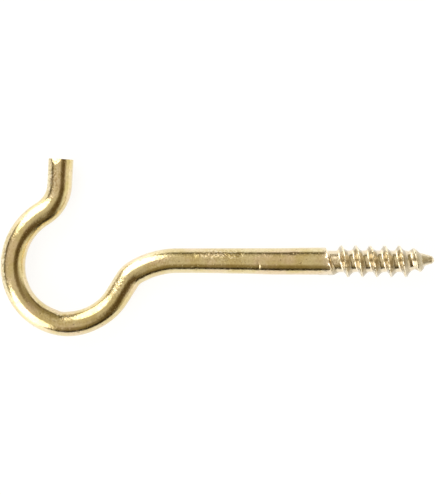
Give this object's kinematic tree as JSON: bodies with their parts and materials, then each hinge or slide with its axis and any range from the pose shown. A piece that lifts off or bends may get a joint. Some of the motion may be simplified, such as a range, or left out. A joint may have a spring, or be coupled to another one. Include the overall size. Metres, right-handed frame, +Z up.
{
  "type": "screw hook",
  "caption": "Round screw hook bent from wire, with a wood-screw thread, a cranked neck and an open bowl, to hang things from wood or a wall plug.",
  "frame": {"origin": "on the shank's centreline, where the plain shank ends and the thread begins", "axes": "+X along the screw towards its point, +Y in the hook's plane towards the side that its tip points to, +Z up out of the hook's plane, with the hook lying flat"},
  "size_m": [0.06, 0.0246, 0.0044],
  "materials": {
    "brassed_wire": "bright drawn wire with a thin brass plating, a little pitted and scratched, paler on the thread"
  },
  "bodies": {
    "root": {"screw_hook": "brassed_wire"}
  },
  "joints": []
}
